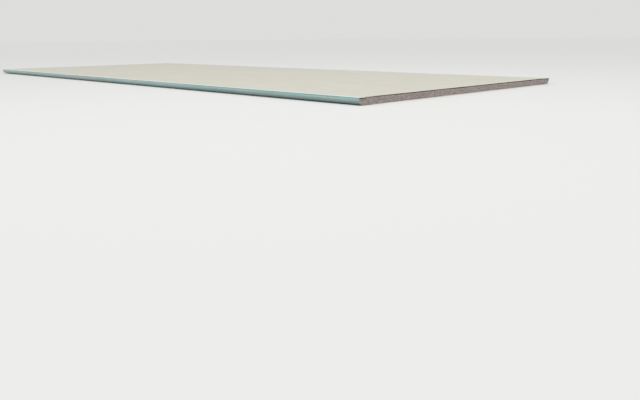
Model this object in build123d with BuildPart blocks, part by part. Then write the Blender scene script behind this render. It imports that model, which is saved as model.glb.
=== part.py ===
"""Small-format moisture-resistant drywall sheet, 600 x 1500 x 12.5 mm.

A gypsum core between two paper liners. The sheet lies on its face, as it lies on top of a
stack: the dyed face liner is underneath, wraps round both long edges and laps onto the back,
and the pale back liner is glued over those laps. The long edges are tapered and half round on
the face side. The two short ends are sawn square, so the core is bare there.

Frame: X across the sheet, Y along it, +Z up out of the back. The origin is the middle of the
underside. Sizes are in millimetres.
"""

from build123d import *

import math
import os

# The whole sheet
sheet_length = 1500.0
sheet_width = 600.0
sheet_thickness = 12.5

# Long edges: the face falls away towards them, then rounds up into a short upright stretch
taper_width = 50.0
taper_depth = 1.2
taper_bend_radius = 250.0
edge_upright = 1.2
core_arris_radius = 0.7

# Liners
face_liner_thickness = 0.4
back_liner_thickness = 0.4
flap_width = 32.0
back_liner_setback = 13.0

# Heights above the floor, and the core's half width inside the wrapped liner
core_bottom = face_liner_thickness
back_liner_bottom = sheet_thickness - back_liner_thickness
flap_seat = back_liner_bottom - face_liner_thickness
half_width = sheet_width / 2
core_half_width = half_width - face_liner_thickness
taper_start = half_width - taper_width
core_taper_end = core_bottom + taper_depth * (core_half_width - taper_start) / taper_width

# The half round takes the rest of the core's edge, tangent to the upright stretch and the taper.
half_round_height = flap_seat - core_arris_radius - edge_upright - core_taper_end
half_round_turn = math.pi / 2 - math.atan2(taper_depth, taper_width)
half_round_radius = half_round_height / math.tan(half_round_turn / 2)

# Outline of the core as the face liner meets it: the back is level with the seat of the flaps.
with BuildSketch(Plane.XZ) as wrapped_core_outline:
    with BuildLine():
        Polyline(
            (-taper_start, core_bottom),
            (taper_start, core_bottom),
            (core_half_width, core_taper_end),
            (core_half_width, flap_seat),
            (-core_half_width, flap_seat),
            (-core_half_width, core_taper_end),
            close=True,
        )
    make_face()
    fillet(wrapped_core_outline.vertices().group_by(Axis.Y)[-1], core_arris_radius)
    fillet(wrapped_core_outline.vertices().group_by(Axis.Y)[1], half_round_radius)
    fillet(wrapped_core_outline.vertices().group_by(Axis.Y)[0], taper_bend_radius)

# Section of the core: between the flaps it stands up by their thickness, so that the back is flat.
with BuildSketch(Plane.XZ) as core_section:
    add(wrapped_core_outline.sketch)
    with Locations((0, flap_seat)):
        Rectangle(
            sheet_width - 2 * flap_width,
            face_liner_thickness,
            align=(Align.CENTER, Align.MIN),
        )

# Section of the face liner: one even thickness round the core, open between its two flaps.
with BuildSketch(Plane.XZ) as face_liner_section:
    add(wrapped_core_outline.sketch)
    offset(amount=face_liner_thickness, kind=Kind.ARC, mode=Mode.REPLACE)
    add(core_section.sketch, mode=Mode.SUBTRACT)

# Section of the back liner: a flat strip over the core and the inner part of each flap.
with BuildSketch(Plane.XZ) as back_liner_section:
    with Locations((0, back_liner_bottom)):
        Rectangle(
            sheet_width - 2 * back_liner_setback,
            back_liner_thickness,
            align=(Align.CENTER, Align.MIN),
        )

# Every section runs straight along the sheet, from one sawn end to the other.
with BuildPart() as gypsum_core:
    extrude(core_section.sketch, amount=sheet_length / 2, both=True)

with BuildPart() as face_liner:
    extrude(face_liner_section.sketch, amount=sheet_length / 2, both=True)

with BuildPart() as back_liner:
    extrude(back_liner_section.sketch, amount=sheet_length / 2, both=True)

gypsum_core.part.label = "gypsum_core"
face_liner.part.label = "face_liner"
back_liner.part.label = "back_liner"

os.makedirs("parts", exist_ok=True)
for piece in (gypsum_core, face_liner, back_liner):
    export_step(piece.part, f"parts/{piece.part.label}.step")
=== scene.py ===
"""Looks of a small-format moisture-resistant drywall sheet that lies on its face.

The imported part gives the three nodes: the gypsum core, the green face liner that wraps round both
long edges, and the cream back liner on top. Each is replaced by a closed mesh on the same section,
worked out with numpy, which adds what the solids leave out: sawn ends with bubbles and crumbled
arrises, liners with frayed cut edges, and the paper's faint cockle. X runs across the sheet, Y
along it and Z up. Sizes are in millimetres until a mesh, a node or a lamp takes them in metres.
"""

import math

import bpy
import numpy as np
from mathutils import Euler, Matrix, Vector


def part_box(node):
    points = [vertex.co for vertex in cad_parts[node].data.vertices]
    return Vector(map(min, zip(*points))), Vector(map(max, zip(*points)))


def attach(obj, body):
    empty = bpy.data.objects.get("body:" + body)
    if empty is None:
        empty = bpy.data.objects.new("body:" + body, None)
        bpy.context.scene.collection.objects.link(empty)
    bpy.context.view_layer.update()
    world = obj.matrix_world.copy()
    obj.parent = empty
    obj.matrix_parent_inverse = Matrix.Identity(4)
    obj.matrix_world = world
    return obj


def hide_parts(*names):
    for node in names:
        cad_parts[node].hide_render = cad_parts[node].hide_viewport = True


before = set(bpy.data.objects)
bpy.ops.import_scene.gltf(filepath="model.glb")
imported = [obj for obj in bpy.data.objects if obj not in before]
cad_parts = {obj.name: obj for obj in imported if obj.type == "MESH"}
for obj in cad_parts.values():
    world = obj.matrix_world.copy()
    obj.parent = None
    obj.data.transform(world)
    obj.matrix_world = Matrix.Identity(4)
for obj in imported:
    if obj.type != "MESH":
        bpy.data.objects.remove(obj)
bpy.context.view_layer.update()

MM = 0.001

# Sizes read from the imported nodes
core_low, core_high = (np.array(corner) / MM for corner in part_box("gypsum_core"))
face_low, face_high = (np.array(corner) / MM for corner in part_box("face_liner"))
back_low, back_high = (np.array(corner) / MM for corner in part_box("back_liner"))
half_length = face_high[1]
half_width = face_high[0]
core_half_width = core_high[0]
core_bottom = core_low[2]
core_top = core_high[2]
paper = core_bottom - face_low[2]
flap_seat = core_top - paper

# Sizes of the section that the boxes don't give, as the part has them
taper_width = 50.0
taper_depth = 1.2
taper_bend_radius = 250.0
edge_upright = 1.2
core_arris_radius = 0.7
flap_width = 32.0
taper_start = half_width - taper_width
core_taper_end = core_bottom + taper_depth * (core_half_width - taper_start) / taper_width
half_round_height = flap_seat - core_arris_radius - edge_upright - core_taper_end
half_round_turn = math.pi / 2 - math.atan2(taper_depth, taper_width)
half_round_radius = half_round_height / math.tan(half_round_turn / 2)
flap_edge = half_width - flap_width

# How far apart the mesh's points are: across the sheet, up a sawn end, and along the sheet, where
# they crowd towards both ends. A row nearer to an end than last_row is the last one.
paper_spacing = 1.3
gypsum_spacing = 0.5
gypsum_rows = 33
end_stations = (0.0, 0.35, 0.9, 2.0, 4.5, 10.0, 22.0)
middle_stations = 56
last_row = 0.1

# Points on the arcs of the face liner: arris, half round and bend of the taper
liner_arc_points = (7, 22, 7)

# Columns of the sawn face under the half round, and the turn in radians where they end
rim_columns = 20
rim_end_turn = 0.2

# The core's step beside a flap is drawn over this width, so that it has one height everywhere
flap_slope = 0.02

# A mesh edge that turns by more degrees than this is sharp
sharp_turn = 35.0

# The cut ends of the liners: how far they fray back and where that fades out, the width of the
# tufts, of single fibres and of the burr's clumps, the share of the fray that the inner skin has,
# the thickness of the burr, and the share of it that the back liner has
fray_depth = 0.7
fray_reach = 3.0
tuft_width = 4.0
fibre_width = 1.5
clump_width = 7.0
inner_fray = 0.6
burr = 1.0
back_burr = 0.5

# The sawn core: how far it lies behind the cut liners, and how near to them it may come
core_setback = 0.35
least_recess = 0.05

# Its saw marks: spacing, depth, slant, and how far they sway
mark_spacing = 1.9
mark_depth = 0.035
mark_slant = 0.18
mark_sway = 0.8

# The cockle of each paper: half its depth, the width of its waves, and how many times longer
# they are along the sheet
face_cockle = (0.04, 36.0, 4)
back_cockle = (0.05, 90.0, 2)

# The slit edge of the back liner: how strongly it wanders and how far in that fades out, and how
# far and how widely its rim is pressed down
slit_wander = 0.2
slit_reach = 12.0
rim_drop = 0.12
rim_reach = 1.5

# Finish and painted shade of the long edges: how far in from the edge the rolled lines are strongest and
# the bands end, how widely a band fades, and how far under the core's back the painted crease shade and
# the nicks lie
lines_margin = 12.0
bands_margin = 8.0
band_fade = 1.5
painted_crease_shade_drop = 0.6
nick_drop = 0.5

# The laps: a part of the face liner this near to the flap's seat is on the back, and its calmer
# finish starts and grows over these distances from the edge
seat_slack = 0.1
lap_start = 0.6
lap_growth = 0.8

# Marks on the visible long edge, in millimetres from the near sawn end. The plain bands give their
# start, end, strength and colour. The nicks in the arris give their places, and the radii of the
# tan hollow, of the pale ply torn round it and of the whole nick.
edge_bands = (
    (252.0, 300.0, 0.20, "#D8D8C4"),
    (862.0, 994.0, 0.35, "#D8D8C4"),
    (994.0, 1200.0, 0.30, "#B4CCD8"),
    (1200.0, 1212.0, 0.30, "#D8D8C4"),
)
arris_nicks = (65.0, 198.0, 265.0)
nick_radii = (1.3, 1.9, 2.5)

# Seeds of the random patterns, and how many cells each has before it repeats
face_cockle_seed = 40
face_cut_seed = 60
back_slit_seed = 70
back_cockle_seed = 80
back_cut_seed = 90
near_end_seed = 100
far_end_seed = 200
lattice = 512

# The camera, fitted to the long and short edges of the sheet in the photograph
camera_place = (-1001.0, -1384.3, 98.1)
camera_heading = 44.28
camera_dip = 14.36
camera_roll = -0.5
focal_pixels = 632.0
image_width = 640
sensor_width = 36.0

# Light levels, as parts of the light on the top of the sheet, and the soft key's direction and
# spread in degrees
sky_level = 0.72
horizon_level = 0.85
key_level = 0.32
key_direction = (-0.76, -0.55, 0.34)
key_spread = 60.0

# The softbox over the near end: its power in watts, its width, its place and its direction
softbox_power = 5.2
softbox_width = 1200.0
softbox_place = (-700.0, -1000.0, 1600.0)
softbox_direction = (-0.25, -0.25, 1.0)

# The stage: the floor's half width, its colour in view, and its colour for soft light
floor_reach = 40000.0
seen_colour = "#EEEEEC"
soft_light_colour = "#444442"


def linear(hex_colour):
    """An sRGB hex colour as linear red, green, blue and alpha: v / 12.92 below 0.04045, and
    ((v + 0.055) / 1.055) ^ 2.4 above it."""
    values = [int(hex_colour[i:i + 2], 16) / 255 for i in (1, 3, 5)]
    return (*[v / 12.92 if v <= 0.04045 else ((v + 0.055) / 1.055) ** 2.4 for v in values], 1.0)


def smoothstep(t):
    """3 t^2 - 2 t^3, with t held between 0 and 1."""
    t = np.clip(t, 0, 1)
    return t * t * (3 - 2 * t)


def noise(x, y, cell, seed):
    """Value noise from -1 to 1: random heights on a square lattice of the given cell, blended
    between lattice points by the smooth step along both axes."""
    table = np.random.default_rng(seed).uniform(-1, 1, (lattice, lattice))
    u, v = x / cell, y / cell
    i, j = np.floor(u).astype(int), np.floor(v).astype(int)
    s, t = smoothstep(u - i), smoothstep(v - j)
    left, right = i % lattice, (i + 1) % lattice
    near, far = j % lattice, (j + 1) % lattice
    on_near = table[left, near] * (1 - s) + table[right, near] * s
    on_far = table[left, far] * (1 - s) + table[right, far] * s
    return on_near * (1 - t) + on_far * t


def layered(x, y, cell, layers, seed):
    """Layers of value noise, each with half the cell and half the height of the last, added up
    and brought back to the range from -1 to 1."""
    heights = [0.5**k for k in range(layers)]
    return sum(h * noise(x, y, cell * h, seed + k) for k, h in enumerate(heights)) / sum(heights)


def bubbles(x, z, cell, radius, share, seed):
    """Bowls left by air bubbles: each square cell holds one centre at a random spot, kept for the
    given share of the cells, with a radius r of 0.4 to 1 times the given one. At the distance d
    from its centre a bowl is r (1 - (d / r)^2) deep, and the deepest bowl counts."""
    rng = np.random.default_rng(seed)
    spot_x, spot_z, size, kept = rng.uniform(0, 1, (4, lattice, lattice))
    i, j = np.floor(x / cell).astype(int), np.floor(z / cell).astype(int)
    deepest = np.zeros_like(x)
    for di in (-1, 0, 1):
        for dj in (-1, 0, 1):
            a, b = (i + di) % lattice, (j + dj) % lattice
            r = radius * (0.4 + 0.6 * size[a, b])
            d = np.hypot(x - (i + di + spot_x[a, b]) * cell, z - (j + dj + spot_z[a, b]) * cell)
            bowl = r * (1 - (d / r) ** 2) * (kept[a, b] < share)
            deepest = np.maximum(deepest, bowl)
    return deepest


def rounded_path(corners, radii, steps):
    """Points along straight runs joined by tangent arcs. At a corner where the path turns by an
    angle a, the arc of radius r starts r tan(a / 2) before the corner and ends as far after it."""
    corners = np.array(corners, float)
    points = [corners[0]]
    for before, corner, after, radius, count in zip(corners, corners[1:], corners[2:], radii, steps):
        arriving = (corner - before) / np.linalg.norm(corner - before)
        leaving = (after - corner) / np.linalg.norm(after - corner)
        turn = math.acos(np.clip(arriving @ leaving, -1, 1))
        side = math.copysign(1, arriving[0] * leaving[1] - arriving[1] * leaving[0])
        start = corner - arriving * radius * math.tan(turn / 2)
        inward = np.array([-arriving[1], arriving[0]]) * side
        angle = np.linspace(0, turn, count)[:, None]
        aside = inward * radius * (1 - np.cos(angle))
        points.extend(start + aside + arriving * radius * np.sin(angle))
    points.append(corners[-1])
    return np.array(points)


def divided(points, spacing):
    """The path with each run longer than the spacing divided into equal shorter ones."""
    lengths = np.linalg.norm(np.diff(points, axis=0), axis=1)
    counts = np.maximum(1, np.ceil(lengths / spacing)).astype(int)
    runs = [
        a + (b - a) * np.arange(n)[:, None] / n
        for a, b, n in zip(points, points[1:], counts)
    ]
    return np.vstack([*runs, points[-1:]])


def normals_of(points):
    """Unit normals to the right of the way that the path runs, from the chord between each
    point's two neighbours."""
    ways = np.gradient(points, axis=0)
    normals = np.stack([ways[:, 1], -ways[:, 0]], axis=1)
    return normals / np.linalg.norm(normals, axis=1, keepdims=True)


def places_along():
    """Places along the sheet's length: close together at both ends, even in between."""
    near = -half_length + np.array(end_stations)
    middle = np.linspace(near[-1], -near[-1], middle_stations + 2)[1:-1]
    return np.concatenate([near, middle, -near[::-1]])


def grid_faces(rows, columns, first=0):
    """Quads of a grid of points numbered row by row, running round each quad the same way."""
    index = first + np.arange(rows * columns).reshape(rows, columns)
    corners = (index[:-1, :-1], index[:-1, 1:], index[1:, 1:], index[1:, :-1])
    return np.stack([c.ravel() for c in corners], axis=1)


def strip_faces(left, right):
    """Quads between two rows of point numbers of equal length."""
    return np.stack([left[:-1], left[1:], right[1:], right[:-1]], axis=1)


def make_piece(name, points, faces, values, material, node):
    """A closed mesh at the world's origin from points in millimetres, with one number per point in
    each named attribute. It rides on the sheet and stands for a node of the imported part."""
    mesh = bpy.data.meshes.new(name)
    mesh.from_pydata((points * MM).tolist(), [], faces.tolist())
    for attribute, numbers in values.items():
        layer = mesh.attributes.new(attribute, "FLOAT", "POINT")
        layer.data.foreach_set("value", numbers.astype(np.float32))
    mesh.shade_smooth()
    mesh.set_sharp_from_angle(angle=math.radians(sharp_turn))
    mesh.materials.append(material)
    piece = bpy.data.objects.new(name, mesh)
    bpy.context.scene.collection.objects.link(piece)
    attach(piece, "root")
    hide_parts(node)


def thin_sheet(outer, inner):
    """Points and quads of a closed sheet between an outer and an inner grid of equal shape, whose
    rows run along the sheet and whose columns run round its section. The quads face outwards where
    the outer grid lies on the left of the columns' way."""
    rows, columns = outer.shape[:2]
    count = rows * columns
    points = np.vstack([outer.reshape(-1, 3), inner.reshape(-1, 3)])
    out = np.arange(count).reshape(rows, columns)
    into = out + count
    faces = [
        grid_faces(rows, columns),
        grid_faces(rows, columns, count)[:, ::-1],
        strip_faces(into[0], out[0]),
        strip_faces(out[-1], into[-1]),
        strip_faces(out[:, 0], into[:, 0]),
        strip_faces(into[:, -1], out[:, -1]),
    ]
    return points, np.vstack(faces)


def cut_paper(along, across, seed):
    """What the saw leaves of a liner at its two ends. The first number of each point is a push
    along the sheet: 0.55 of the square of the tufts and 0.45 of the cube of the fibres, faded out
    away from the end. The second is the thickness of the burr that is turned in over the core, on
    the last row only: the clumps times 0.4 and 0.6 of the fibres."""
    pushes, burrs = [], []
    for end in (-1, 1):
        from_end = half_length - end * along
        tufts = 0.5 + 0.5 * noise(across, 0.0, tuft_width, seed + end)
        fibres = 0.5 + 0.5 * noise(across, 0.0, fibre_width, seed + 10 + end)
        clumps = 0.5 + 0.5 * noise(across, 0.0, clump_width, seed + 20 + end)
        frayed = fray_depth * (0.55 * tufts**2 + 0.45 * fibres**3)
        faded = smoothstep(1 - from_end / fray_reach)
        pushes.append(-end * faded[:, None] * frayed[None, :])
        turned = burr * clumps * (0.4 + 0.6 * fibres)
        burrs.append((from_end < last_row)[:, None] * turned[None, :])
    return sum(pushes), sum(burrs)


def bare_plies(along, columns):
    """One number for each point of a thin sheet: 1 on the last rows of the inner skin, where the
    paper's bare inner plies show, and 0 on the rest of it and on the outer skin."""
    last = half_length - np.abs(along) < last_row
    inner = np.repeat(last.astype(float), columns)
    return np.concatenate([np.zeros(inner.size), inner])


def cockled(across, along, depth, width, stretch, seed):
    """How far a paper's skin lies below the flat: the depth times 1 plus three layers of noise,
    whose waves have the given width and are longer along the sheet by the stretch."""
    return depth * (1 + layered(across, along / stretch, width, 3, seed))


def make_face_liner(material):
    """The green liner: the core's outline from the inner edge of one flap round the underside to
    the other, carried along the sheet. The outer skin lies one paper thickness out along the
    outline's normal, less a faint cockle of long shallow waves."""
    corners = [
        (-flap_edge, flap_seat),
        (-core_half_width, flap_seat),
        (-core_half_width, core_taper_end),
        (-taper_start, core_bottom),
        (taper_start, core_bottom),
        (core_half_width, core_taper_end),
        (core_half_width, flap_seat),
        (flap_edge, flap_seat),
    ]
    radii = (core_arris_radius, half_round_radius, taper_bend_radius)
    steps = liner_arc_points
    path = divided(rounded_path(corners, radii + radii[::-1], steps + steps[::-1]), paper_spacing)
    normals = normals_of(path)
    lengths = np.linalg.norm(np.diff(path, axis=0), axis=1)
    travelled = np.concatenate([[0], np.cumsum(lengths)])
    along = places_along()
    y, s = np.meshgrid(along, travelled, indexing="ij")
    push, turned_in = cut_paper(along, travelled, face_cut_seed)
    thickness = paper - cockled(s, y, *face_cockle, face_cockle_seed)
    outer = np.stack([
        path[:, 0] + normals[:, 0] * thickness,
        y + push,
        path[:, 1] + normals[:, 1] * thickness,
    ], axis=2)
    inner = np.stack([
        path[:, 0] - normals[:, 0] * turned_in,
        y + push * inner_fray,
        path[:, 1] - normals[:, 1] * turned_in,
    ], axis=2)
    points, faces = thin_sheet(outer, inner)
    # The outer skin lies on the right of this path, so each quad is turned round to face outwards
    outward = faces[:, ::-1]
    on_back = path[:, 1] > flap_seat - seat_slack
    from_edge = half_width - np.abs(path[:, 0])
    lap = on_back * smoothstep((from_edge - lap_start) / lap_growth)
    values = {"ply": bare_plies(along, travelled.size), "lap": np.tile(lap, 2 * along.size)}
    make_piece("face_liner_wrap", points, outward, values, material, "face_liner")


def make_back_liner(material):
    """The cream liner: a flat strip over the core and the flaps. Its long edges were slit, so they
    wander: they lie inwards by slit_wander times 1.3, less a long wave of 180 mm and 0.3 of a
    short one of 25 mm. Its skin has a faint cockle, and its rim is pressed down."""
    half = back_high[0]
    across = np.linspace(-half, half, round(2 * half / paper_spacing))
    along = places_along()
    y, x = np.meshgrid(along, across, indexing="ij")
    from_edge = half - np.abs(x)
    outwards = smoothstep((slit_reach - from_edge) / slit_reach) * np.sign(x)
    long_wave = noise(y, 0.0, 180.0, back_slit_seed)
    short_wave = 0.3 * noise(y, 0.0, 25.0, back_slit_seed + 1)
    slit = outwards * slit_wander * (-1.3 + long_wave + short_wave)
    cockle = cockled(x, y, *back_cockle, back_cockle_seed)
    rim = rim_drop * smoothstep(1 - from_edge / rim_reach)
    push, turned_in = cut_paper(along, across, back_cut_seed)
    turned_in = turned_in * (np.abs(x) < flap_edge) * back_burr
    outer = np.stack([x + slit, y + push, back_high[2] - np.maximum(cockle, rim)], axis=2)
    inner = np.stack([x + slit, y + push * inner_fray, back_low[2] - turned_in], axis=2)
    points, faces = thin_sheet(outer, inner)
    values = {"ply": bare_plies(along, across.size)}
    make_piece("back_liner_sheet", points, faces, values, material, "back_liner")


def outline_heights(x):
    """Lowest and highest point of the core's section at each place across the sheet, read from its
    outline below, up to the arris, and from its outline above, down the upright."""
    sharp = 0.001
    under = rounded_path(
        [(0, core_bottom), (taper_start, core_bottom), (core_half_width, core_taper_end),
         (core_half_width, flap_seat - core_arris_radius)],
        (taper_bend_radius, half_round_radius), (24, 90),
    )
    over = rounded_path(
        [(0, core_top), (flap_edge, core_top), (flap_edge + flap_slope, flap_seat),
         (core_half_width, flap_seat), (core_half_width, core_taper_end)],
        (sharp, sharp, core_arris_radius), (2, 2, 24),
    )
    low = np.interp(np.abs(x), under[:-1, 0], under[:-1, 1])
    high = np.interp(np.abs(x), over[:-1, 0], over[:-1, 1])
    return low, high


def sawn_recess(x, z, low, high, seed):
    """Depth of the sawn face behind the cut edges of the liners. It adds up the setback, waves of
    6 mm and 2.4 mm, nearly upright saw marks, small and large bubbles, an arris under the back
    liner crumbled 2 to 3.2 mm high and 0.9 to 2.2 mm deep, and more over the last 14 mm beside a
    long edge, and an arris at the bottom chipped up to 0.8 mm deep and 1.6 mm high."""
    waves = 0.14 * layered(x, z, 6.0, 2, seed) + 0.2 * layered(x, z, 2.4, 2, seed + 3)
    swaying = x + mark_slant * z + mark_sway * noise(x, z, 14.0, seed + 7)
    marks = mark_depth * np.sin(2 * math.pi * swaying / mark_spacing)
    small = 0.55 * bubbles(x, z, 1.7, 0.8, 0.7, seed + 11)
    large = 0.5 * bubbles(x, z, 6.5, 1.5, 0.5, seed + 12)
    weak = 0.5 + 0.5 * layered(x, 0.0, 11.0, 3, seed + 13)
    corner = smoothstep(1 - (core_half_width - np.abs(x)) / 14)
    crumble_height = 2.0 + 1.2 * weak + 0.6 * corner
    crumbled = (0.9 + 1.3 * weak + 0.5 * corner) * smoothstep(1 - (high - z) / crumble_height)
    chip = 0.5 + 0.5 * layered(x, 0.0, 6.0, 2, seed + 14)
    chipped = 0.8 * chip * smoothstep(1 - (z - low) / (0.8 + 0.8 * chip))
    return np.maximum(least_recess, core_setback + waves + marks + small + large + crumbled + chipped)


def make_core(material):
    """The gypsum core: at each end a grid that follows the section, set back by the sawn surface,
    and between the two ends the section's outline. Towards the long edges the columns stand at
    core_half_width - r (1 - sin a) for even steps of a, as points on the half round do."""
    turn = np.linspace(math.pi / 2, rim_end_turn, rim_columns)
    rim = core_half_width - half_round_radius * (1 - np.sin(turn))
    step = flap_edge + flap_slope
    middle = np.arange(gypsum_spacing / 2, flap_edge - gypsum_spacing / 2, gypsum_spacing)
    margin = np.arange(step + gypsum_spacing, rim[-1] - gypsum_spacing / 2, gypsum_spacing)
    half = np.concatenate([middle, [flap_edge, step], margin, rim[::-1]])
    across = np.concatenate([-half[::-1], half])
    low, high = outline_heights(across)
    z = low + (high - low) * np.linspace(0, 1, gypsum_rows)[:, None]
    x = np.broadcast_to(across, z.shape)
    near, far = (sawn_recess(x, z, low, high, seed) for seed in (near_end_seed, far_end_seed))
    points = np.vstack([
        np.stack([x, near - half_length, z], axis=2).reshape(-1, 3),
        np.stack([x, half_length - far, z], axis=2).reshape(-1, 3),
    ])
    rows, columns = z.shape
    count = rows * columns
    index = np.arange(count).reshape(rows, columns)
    loop = np.concatenate([index[0, :-1], index[:-1, -1], index[-1, :0:-1], index[::-1, 0]])
    faces = np.vstack([
        grid_faces(rows, columns),
        grid_faces(rows, columns, count)[:, ::-1],
        strip_faces(loop + count, loop),
    ])
    # How far each point of the sawn face lies behind the usual setback. The gypsum's material darkens it
    # by this depth as painted shade
    values = {"hollow": np.concatenate([near.ravel(), far.ravel()]) - core_setback}
    make_piece("gypsum_core_sawn", points, faces, values, material, "gypsum_core")


def add(tree, kind, output, **sockets):
    """Adds a node and returns one of its outputs. Each other name is a property of the node or one
    of its inputs, with _ for a space or in_ and a number. Each value is a constant, a hex colour or
    the output that feeds that input."""
    node = tree.nodes.new(kind)
    for name, value in sockets.items():
        if name in node.bl_rna.properties:
            setattr(node, name, value)
            continue
        key = int(name.removeprefix("in_")) if name.startswith("in_") else name.replace("_", " ")
        if isinstance(value, bpy.types.NodeSocket):
            tree.links.new(node.inputs[key], value)
        else:
            node.inputs[key].default_value = linear(value) if isinstance(value, str) else value
    return None if output is None else node.outputs[output]


def new_material(name):
    """An empty node material, its tree and the Object coordinates that its patterns follow."""
    material = bpy.data.materials.new(name)
    material.use_nodes = True
    material.node_tree.nodes.clear()
    tree = material.node_tree
    return material, tree, add(tree, "ShaderNodeTexCoord", "Object")


def grain(tree, place, cell, detail=3.0, rough=0.5):
    """Noise from 0 to 1 whose cells measure the given millimetres along X, Y and Z."""
    scale = tuple(1 / (size * MM) for size in cell)
    scaled = add(tree, "ShaderNodeMapping", "Vector", Vector=place, Scale=scale)
    return add(tree, "ShaderNodeTexNoise", "Fac", Vector=scaled, Scale=1.0, Detail=detail, Roughness=rough)


def specks(tree, place, cell, radius, share):
    """Round specks: 1 - d / r at the distance d from a random point in each cell, for the given
    share of the cells, and 0 or less elsewhere. The cell and the radius r are in millimetres."""
    scale = 1 / (cell * MM)
    distance = add(tree, "ShaderNodeTexVoronoi", "Distance", Vector=place, Scale=scale)
    tint = add(tree, "ShaderNodeTexVoronoi", "Color", Vector=place, Scale=scale)
    pick = add(tree, "ShaderNodeSeparateColor", "Red", Color=tint)
    inside = add(tree, "ShaderNodeMath", 0, operation="MULTIPLY_ADD",
                 in_0=distance, in_1=-cell / radius, in_2=1.0)
    kept = add(tree, "ShaderNodeMath", 0, operation="LESS_THAN", in_0=pick, in_1=share)
    return add(tree, "ShaderNodeMath", 0, operation="MULTIPLY", in_0=inside, in_1=kept)


def swayed(tree, place, cell, reach):
    """The place pushed about along each axis by noise of the given cell, by up to half of the
    reach either way. A round spot read at it has a torn outline. Both are in millimetres."""
    sway = add(tree, "ShaderNodeTexNoise", "Color", Vector=place, Scale=1 / (cell * MM), Detail=2.0)
    push = add(tree, "ShaderNodeVectorMath", "Vector", operation="SUBTRACT", in_0=sway, in_1=(0.5,) * 3)
    return add(tree, "ShaderNodeVectorMath", "Vector", operation="MULTIPLY_ADD",
               in_0=push, in_1=(reach * MM,) * 3, in_2=place)


def distance_from(tree, coordinate, middle):
    """How far a coordinate is from the given middle, |v - middle|. The middle is in millimetres."""
    offset = add(tree, "ShaderNodeMath", 0, operation="SUBTRACT", in_0=coordinate, in_1=middle * MM)
    return add(tree, "ShaderNodeMath", 0, operation="ABSOLUTE", in_0=offset)


def coat(tree, colour, tint, pattern, none, full, strength=1.0):
    """Lays a tint over a colour: nothing of it where the pattern has the value none, and the given
    strength of it where the pattern has the value full, with a smooth change in between."""
    share = add(tree, "ShaderNodeMapRange", "Result", interpolation_type="SMOOTHSTEP",
                in_0=pattern, in_1=none, in_2=full, in_3=0.0, in_4=strength)
    return add(tree, "ShaderNodeMix", 2, data_type="RGBA", in_0=share, in_6=colour, in_7=tint)


def paper_fibres(tree, place):
    """Fibres that lie mostly along the sheet. Real ones are some 0.03 mm thick, too fine to show,
    so they are drawn as clumps 1.1 mm wide and 2.8 mm long."""
    return grain(tree, place, (1.1, 2.8, 1.1), 6.0, 0.7)


def cut_plies(tree, place, colour, dark, pale, none):
    """Lays the paper's bare inner plies over its colour, where the mesh marks them: dark shreds
    0.9 mm wide and 0.3 mm thick, turning pale where their noise goes from none to 0.65."""
    shreds = grain(tree, place, (0.9, 0.3, 0.3))
    plies = coat(tree, dark, pale, shreds, none, 0.65)
    marked = add(tree, "ShaderNodeAttribute", "Fac", attribute_name="ply")
    return coat(tree, colour, plies, marked, 0.1, 0.4)


def paper_surface(tree, colour, fibres, smoothest, roughest, gloss, fuzz):
    """A matt paper skin: the fibres raise it by a fraction of a millimetre and roughen it. The
    gloss is the specular level that the rollers leave. The fuzz is the weight of the pale sheen
    that loose fibre ends give at a glancing view."""
    relief = add(tree, "ShaderNodeBump", "Normal", Height=fibres, Strength=0.35, Distance=0.2 * MM)
    rough = add(tree, "ShaderNodeMapRange", "Result",
                in_0=fibres, in_1=0.3, in_2=0.7, in_3=smoothest, in_4=roughest)
    shader = add(tree, "ShaderNodeBsdfPrincipled", "BSDF", Base_Color=colour, Normal=relief,
                 Roughness=rough, IOR=1.45, Specular_IOR_Level=gloss,
                 Sheen_Weight=fuzz, Sheen_Roughness=0.6)
    add(tree, "ShaderNodeOutputMaterial", None, Surface=shader)


def back_paper():
    """Cream back liner: uncoated recycled paper pressed on rollers. It gives the eye a matt, almost
    even cream with soft clouds, faint lines along the rolling, short fibres and sparse flecks."""
    material, tree, place = new_material("cream_recycled_liner_paper")
    clouds = grain(tree, place, (40, 70, 40), 4.0, 0.6)
    mottle = grain(tree, place, (7, 11, 7))
    rolling = grain(tree, place, (2.4, 70, 2.4))
    fibres = paper_fibres(tree, place)
    colour = coat(tree, "#D6D4C7", "#DDDACF", clouds, 0.3, 0.7)
    colour = coat(tree, colour, "#D9D5C7", mottle, 0.3, 0.7, 0.6)
    colour = coat(tree, colour, "#CECBBD", rolling, 0.4, 0.7, 0.2)
    colour = coat(tree, colour, "#DEDCD0", fibres, 0.35, 0.7, 0.4)
    colour = coat(tree, colour, "#93836C", specks(tree, place, 9.0, 0.6, 0.15), 0.0, 0.5, 0.5)
    colour = coat(tree, colour, "#7A8790", specks(tree, place, 14.0, 0.5, 0.2), 0.0, 0.5, 0.4)
    colour = cut_plies(tree, place, colour, "#5E4B44", "#8A7566", 0.4)
    paper_surface(tree, colour, fibres, 0.84, 0.96, 0.3, 0.0)
    return material


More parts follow.
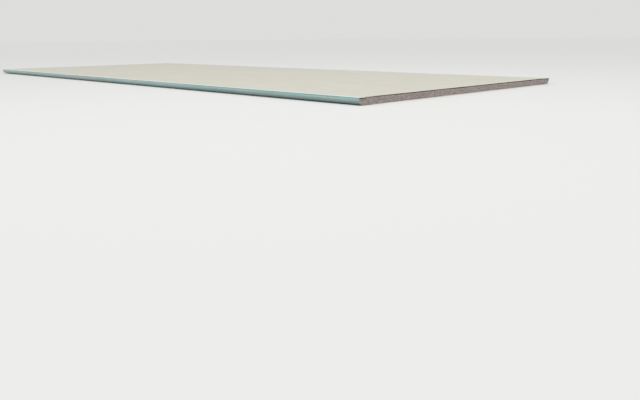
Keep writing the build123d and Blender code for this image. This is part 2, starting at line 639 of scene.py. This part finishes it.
def face_paper():
    """Green face liner: paper dyed in the pulp and smoothed on rollers. It gives the eye a soft blue-green
    with clouds and fine lines along the sheet. The lines stand out towards the long edges and are calm on
    the laps. A few bands of another tone cross the visible edge, a band of painted shade darkens the side
    just under the fold's crease, nicks in the arris are torn down to the tan ply, and the cut ends are
    tan. Loose fibre ends make it paler at a glancing view."""
    material, tree, place = new_material("green_dyed_liner_paper")
    x, y, z = (add(tree, "ShaderNodeSeparateXYZ", axis, Vector=place) for axis in "XYZ")
    clouds = grain(tree, place, (33, 125, 33))
    lines = grain(tree, place, (2.2, 170, 2.2), 4.0, 0.7)
    fibres = paper_fibres(tree, place)
    dyed = coat(tree, "#B7DFD8", "#C2E5E2", clouds, 0.3, 0.7)
    calm = coat(tree, dyed, "#94C4BD", lines, 0.35, 0.75, 0.25)
    calm = coat(tree, calm, "#CBEAE5", fibres, 0.35, 0.7, 0.35)
    lined = coat(tree, dyed, "#94C4BD", lines, 0.42, 0.62, 0.9)
    lined = coat(tree, lined, "#CBEAE5", fibres, 0.35, 0.7, 0.35)
    from_middle = distance_from(tree, x, 0.0)
    fully_lined = half_width - lines_margin
    colour = coat(tree, calm, lined, from_middle, taper_start * MM, fully_lined * MM)

    bands_reach = half_width - bands_margin
    off_edge = add(tree, "ShaderNodeMath", 0, operation="ADD", in_0=x, in_1=bands_reach * MM)
    for start, end, strength, tint in edge_bands:
        apart = distance_from(tree, y, (start + end) / 2 - half_length)
        half_band = (end - start) / 2
        past_end = add(tree, "ShaderNodeMath", 0, operation="SUBTRACT", in_0=apart, in_1=half_band * MM)
        outside = add(tree, "ShaderNodeMath", 0, operation="MAXIMUM", in_0=past_end, in_1=off_edge)
        colour = coat(tree, colour, tint, outside, band_fade * MM, -band_fade * MM, strength)

    # Painted shade: a dark band along the side just under the fold, strongest within 0.3 mm of the crease
    # line and gone 1 mm from it
    from_painted_crease_shade = distance_from(tree, z, core_top - painted_crease_shade_drop)
    colour = coat(tree, colour, "#5E817F", from_painted_crease_shade, 1.0 * MM, 0.3 * MM, 0.8)
    lap = add(tree, "ShaderNodeAttribute", "Fac", attribute_name="lap")
    colour = coat(tree, colour, calm, lap, 0.0, 1.0, 0.9)

    torn = swayed(tree, place, 1.2, 3.0)
    hollow, ply, rim = (radius * MM for radius in nick_radii)
    for along in arris_nicks:
        spot = tuple(c * MM for c in (-half_width, along - half_length, core_top - nick_drop))
        away = add(tree, "ShaderNodeVectorMath", "Value", operation="DISTANCE", in_0=torn, in_1=spot)
        colour = coat(tree, colour, "#D9C7B4", away, rim, ply, 0.8)
        colour = coat(tree, colour, "#A9835D", away, ply, hollow)
    colour = cut_plies(tree, place, colour, "#C9AB8C", "#F0DEC8", 0.35)
    paper_surface(tree, colour, fibres, 0.6, 0.78, 0.55, 0.6)
    return material


def gypsum():
    """Cast gypsum, foamed with fine air bubbles and sawn. It gives the eye a matt mauve-grey that is
    grainy at 1 to 3 mm, with dark specks and pale crystals. Its small pores and the bubbles, crumbles and
    other hollows of the sawn face are darkened with painted shade. The crystals of its powder are some
    0.02 mm long, too fine to show, so the powder is drawn at 0.3 mm."""
    material, tree, place = new_material("sawn_foamed_gypsum")
    grains = grain(tree, place, (1.8, 1.8, 1.8), 4.0, 0.65)
    powder = grain(tree, place, (0.3, 0.3, 0.3), 4.0, 0.7)
    pores = specks(tree, place, 1.0, 0.36, 0.6)
    torn = swayed(tree, place, 0.8, 1.2)
    hollow = add(tree, "ShaderNodeAttribute", "Fac", attribute_name="hollow")
    colour = coat(tree, "#A5958F", "#D3C8C3", grains, 0.38, 0.62)
    colour = coat(tree, colour, "#D8CDC9", powder, 0.45, 0.7, 0.35)
    # Painted shade: the pores, which the relief below sinks, are painted darker as well
    colour = coat(tree, colour, "#8F7C77", pores, 0.0, 0.6, 0.6)
    colour = coat(tree, colour, "#6B5853", specks(tree, torn, 2.5, 0.85, 0.5), 0.0, 0.7, 0.85)
    colour = coat(tree, colour, "#F5EEEA", specks(tree, torn, 2.2, 0.75, 0.5), 0.0, 0.7, 0.75)
    # Painted shade: the deeper the sawn face lies in its bubbles, crumbles and chips, the darker it is
    # painted
    colour = coat(tree, colour, "#5E4A46", hollow, 0.3, 1.4, 0.8)
    sunk = add(tree, "ShaderNodeMath", 0, operation="MAXIMUM", in_0=pores, in_1=0.0)
    height = add(tree, "ShaderNodeMath", 0, operation="MULTIPLY_ADD", in_0=grains, in_1=0.8, in_2=powder)
    height = add(tree, "ShaderNodeMath", 0, operation="SUBTRACT", in_0=height, in_1=sunk)
    relief = add(tree, "ShaderNodeBump", "Normal", Height=height, Strength=0.7, Distance=0.25 * MM)
    shader = add(tree, "ShaderNodeBsdfPrincipled", "BSDF", Base_Color=colour, Normal=relief,
                 Roughness=0.97, IOR=1.52, Specular_IOR_Level=0.15)
    add(tree, "ShaderNodeOutputMaterial", None, Surface=shader)
    return material


def shown_rays(tree):
    """1 for a ray that shows the background: one from the camera, or one that a glossy or a clear
    surface sends on. 0 for a ray that gathers soft light."""
    camera, glossy, through = (add(tree, "ShaderNodeLightPath", output)
                               for output in ("Is Camera Ray", "Is Glossy Ray", "Is Transmission Ray"))
    either = add(tree, "ShaderNodeMath", 0, operation="MAXIMUM", in_0=camera, in_1=glossy)
    return add(tree, "ShaderNodeMath", 0, operation="MAXIMUM", in_0=either, in_1=through)


def make_floor():
    """A pale matt floor. For soft light it is dark, so that little comes up onto the sheet."""
    material, tree, _ = new_material("pale_matt_studio_floor")
    colour = add(tree, "ShaderNodeMix", 2, data_type="RGBA",
                 in_0=shown_rays(tree), in_6=soft_light_colour, in_7=seen_colour)
    shader = add(tree, "ShaderNodeBsdfDiffuse", "BSDF", Color=colour)
    add(tree, "ShaderNodeOutputMaterial", None, Surface=shader)
    mesh = bpy.data.meshes.new("studio_floor")
    reach = floor_reach * MM
    corners = [(-reach, -reach, 0), (reach, -reach, 0), (reach, reach, 0), (-reach, reach, 0)]
    mesh.from_pydata(corners, [], [(0, 1, 2, 3)])
    mesh.materials.append(material)
    floor = bpy.data.objects.new("studio_floor", mesh)
    bpy.context.scene.collection.objects.link(floor)


def make_world():
    """An even world that gives white soft light, and shows the floor's pale colour behind it."""
    world = bpy.data.worlds.new("even_pale_world")
    bpy.context.scene.world = world
    world.use_nodes = True
    tree = world.node_tree
    tree.nodes.clear()
    light = add(tree, "ShaderNodeBackground", 0, Color="#FFFFFF", Strength=sky_level)
    view = add(tree, "ShaderNodeBackground", 0, Color=seen_colour, Strength=horizon_level)
    mixed = add(tree, "ShaderNodeMixShader", 0, in_0=shown_rays(tree), in_1=light, in_2=view)
    add(tree, "ShaderNodeOutputWorld", None, Surface=mixed)


def make_lamp(name, kind, direction, place=(0, 0, 0)):
    """A lamp that shines from the given direction, at a place in millimetres. Returns its light."""
    light = bpy.data.lights.new(name, kind)
    lamp = bpy.data.objects.new(name, light)
    lamp.location = [c * MM for c in place]
    lamp.rotation_euler = Vector(direction).to_track_quat("Z", "Y").to_euler()
    bpy.context.scene.collection.objects.link(lamp)
    return light


def make_lights():
    """A wide soft sun from the left and the front, and a softbox over the near end, whose light
    fades along the sheet as in the photograph. A sun of strength s lights a flat white surface to
    the level s cos(a) / pi, where a is the angle between its direction and the surface's normal."""
    sun = make_lamp("soft_key", "SUN", key_direction)
    sun.energy = key_level * math.pi
    sun.angle = math.radians(key_spread)
    softbox = make_lamp("near_softbox", "AREA", softbox_direction, softbox_place)
    softbox.shape = "DISK"
    softbox.size = softbox_width * MM
    softbox.energy = softbox_power


def make_camera():
    """The photograph's camera: a level heading turned from +Y towards +X, dipped and rolled a
    little, with the focal length that its perspective gives."""
    data = bpy.data.cameras.new("photo_camera")
    data.sensor_width = sensor_width
    data.lens = focal_pixels / image_width * sensor_width
    data.clip_start = 0.01
    data.clip_end = 200.0
    camera = bpy.data.objects.new("photo_camera", data)
    camera.location = [c * MM for c in camera_place]
    turned = Euler((math.radians(90 - camera_dip), 0, math.radians(-camera_heading))).to_matrix()
    rolled = Euler((0, 0, math.radians(camera_roll))).to_matrix()
    camera.rotation_euler = (turned @ rolled).to_euler()
    bpy.context.scene.collection.objects.link(camera)
    bpy.context.scene.camera = camera


make_camera()
make_face_liner(face_paper())
make_back_liner(back_paper())
make_core(gypsum())
make_floor()
make_world()
make_lights()

bpy.context.scene.view_settings.view_transform = "Standard"
